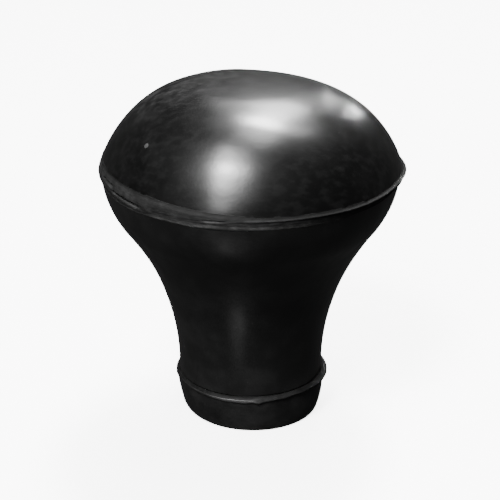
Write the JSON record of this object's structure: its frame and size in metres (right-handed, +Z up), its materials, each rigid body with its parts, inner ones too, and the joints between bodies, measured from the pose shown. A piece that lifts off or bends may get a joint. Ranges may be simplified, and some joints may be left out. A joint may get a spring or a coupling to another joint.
{
  "type": "dust blower bulb",
  "caption": "Hollow rubber bulb with a round pressing head, a flared neck, a seam band and a tapered foot with an air mouth, for blowing dust off small parts.",
  "frame": {"origin": "centre of the foot's flat underside, where the bulb stands", "axes": "+Z up through the centre of the dome; -Y towards the side that the reference view shows; +X to that view's right"},
  "size_m": [0.0508, 0.0508, 0.0578],
  "materials": {
    "shell_rubber": "satin black rubber, dusty and rubbed on the head",
    "band_rubber": "matt dark grey rubber, buffed",
    "plug_rubber": "slightly grainy black rubber"
  },
  "bodies": {
    "bulb": {"neck_shell": "shell_rubber", "seam_band": "band_rubber", "neck_ring": "band_rubber", "mouth_plug": "plug_rubber"},
    "dome": {"dome_shell": "shell_rubber"}
  },
  "joints": [
    {"name": "dome_press", "type": "slide", "parent": "bulb", "child": "dome", "axis": [0, 0, -1], "range_m": [0, 0.007], "stiffness_N_per_m": 1800, "deforming": ["dome_shell"]}
  ]
}
